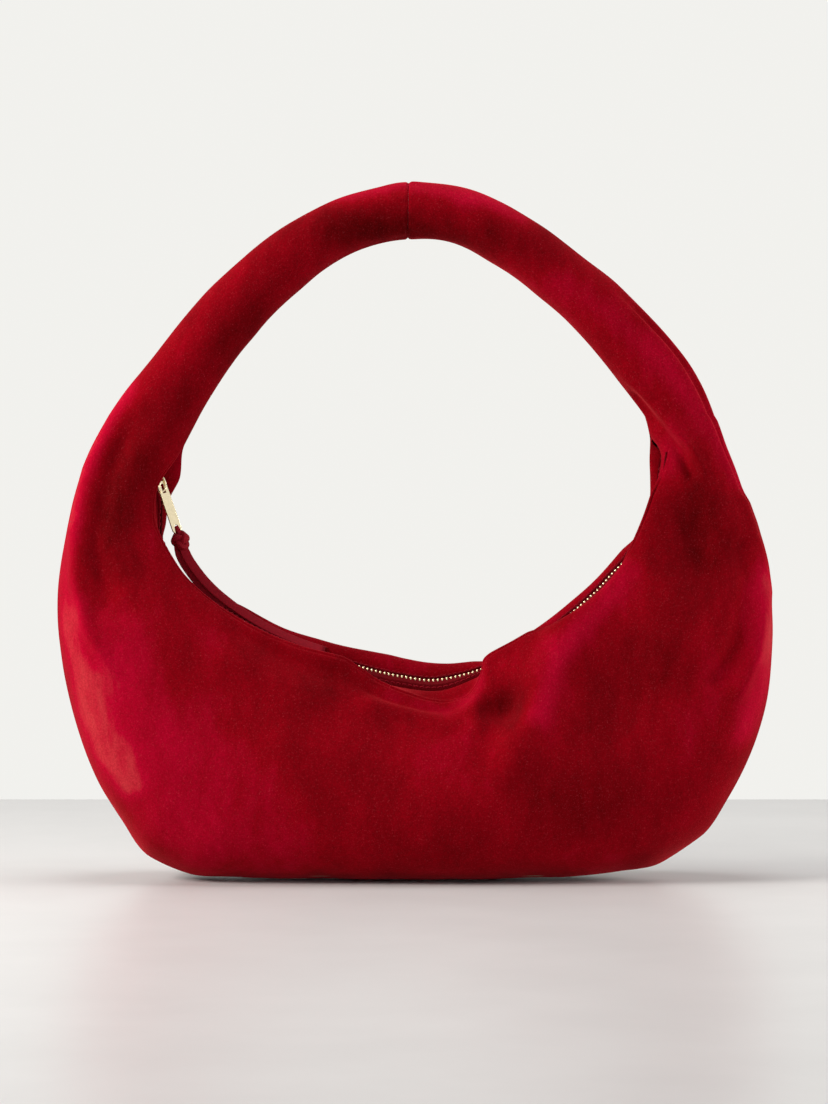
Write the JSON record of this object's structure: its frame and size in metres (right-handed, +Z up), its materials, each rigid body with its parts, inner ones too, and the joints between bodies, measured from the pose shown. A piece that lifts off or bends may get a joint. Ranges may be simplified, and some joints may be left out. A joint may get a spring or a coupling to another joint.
{
  "type": "shoulder bag",
  "caption": "Ring-shaped red suede shoulder bag: crescent body, padded loop handle, curved metal zip inside the ring, pull tab with a knotted leather strap.",
  "frame": {"origin": "centre of the footprint, on the ground under the bag", "axes": "+X along the bag to the viewer's right, +Y from the front panel to the back panel, +Z up"},
  "size_m": [0.4012, 0.108, 0.394],
  "materials": {
    "suede": "matte suede nap",
    "suede_edge": "matte cut edge",
    "strap_leather": "smooth leather",
    "lining": "fine twill",
    "zip_tape": "woven tape",
    "board": "fibre board",
    "padding": "wadding",
    "zip_metal": "polished pale gold",
    "slider_metal": "polished pale gold"
  },
  "bodies": {
    "shell": {"front_panel": "suede", "back_panel": "suede", "front_lining": "lining", "back_lining": "lining", "seam_welt": "suede_edge", "base_board": "board", "left_end_tab": "suede", "right_end_tab": "suede", "bottom_stop": "zip_metal"},
    "handle": {"handle_cover_left": "suede", "handle_cover_right": "suede", "handle_core": "padding"},
    "front_lip": {"front_tape": "zip_tape", "front_binding": "suede", "front_teeth": "zip_metal", "front_top_stop": "zip_metal"},
    "back_lip": {"back_tape": "zip_tape", "back_binding": "suede", "back_teeth": "zip_metal", "back_top_stop": "zip_metal"},
    "slider": {"slider_body": "slider_metal", "slider_bridge": "slider_metal"},
    "pull_tab": {"pull_tab": "slider_metal"},
    "pull_strap": {"pull_strap": "strap_leather"}
  },
  "joints": [
    {"name": "handle_flop", "type": "hinge", "parent": "shell", "child": "handle", "pos_m": [0, 0, 0.27], "axis": [1, 0, 0], "range_deg": [-95, 95]},
    {"name": "zip_travel", "type": "hinge", "parent": "shell", "child": "slider", "pos_m": [-0.0055, 0, 0.261], "axis": [0, -1, 0], "range_deg": [0, 150]},
    {"name": "front_lip_open", "type": "hinge", "parent": "shell", "child": "front_lip", "pos_m": [-0.0055, 0, 0.244], "axis": [-1, 0, 0], "range_deg": [0, 20]},
    {"name": "back_lip_open", "type": "hinge", "parent": "shell", "child": "back_lip", "pos_m": [-0.0055, 0, 0.244], "axis": [1, 0, 0], "range_deg": [0, 20]},
    {"name": "tab_swing", "type": "hinge", "parent": "slider", "child": "pull_tab", "pos_m": [-0.14358, 0, 0.22323], "axis": [0, -1, 0], "range_deg": [0, 155]},
    {"name": "strap_swing", "type": "hinge", "parent": "pull_tab", "child": "pull_strap", "pos_m": [-0.13234, 0, 0.1989], "axis": [0, -1, 0], "range_deg": [-60, 0]}
  ],
  "couplings": [
    {"joint": "front_lip_open", "follows": "zip_travel", "ratio": 0.13333},
    {"joint": "back_lip_open", "follows": "zip_travel", "ratio": 0.13333},
    {"joint": "tab_swing", "follows": "zip_travel", "ratio": 1.03},
    {"joint": "strap_swing", "follows": "zip_travel", "ratio": -0.4}
  ]
}
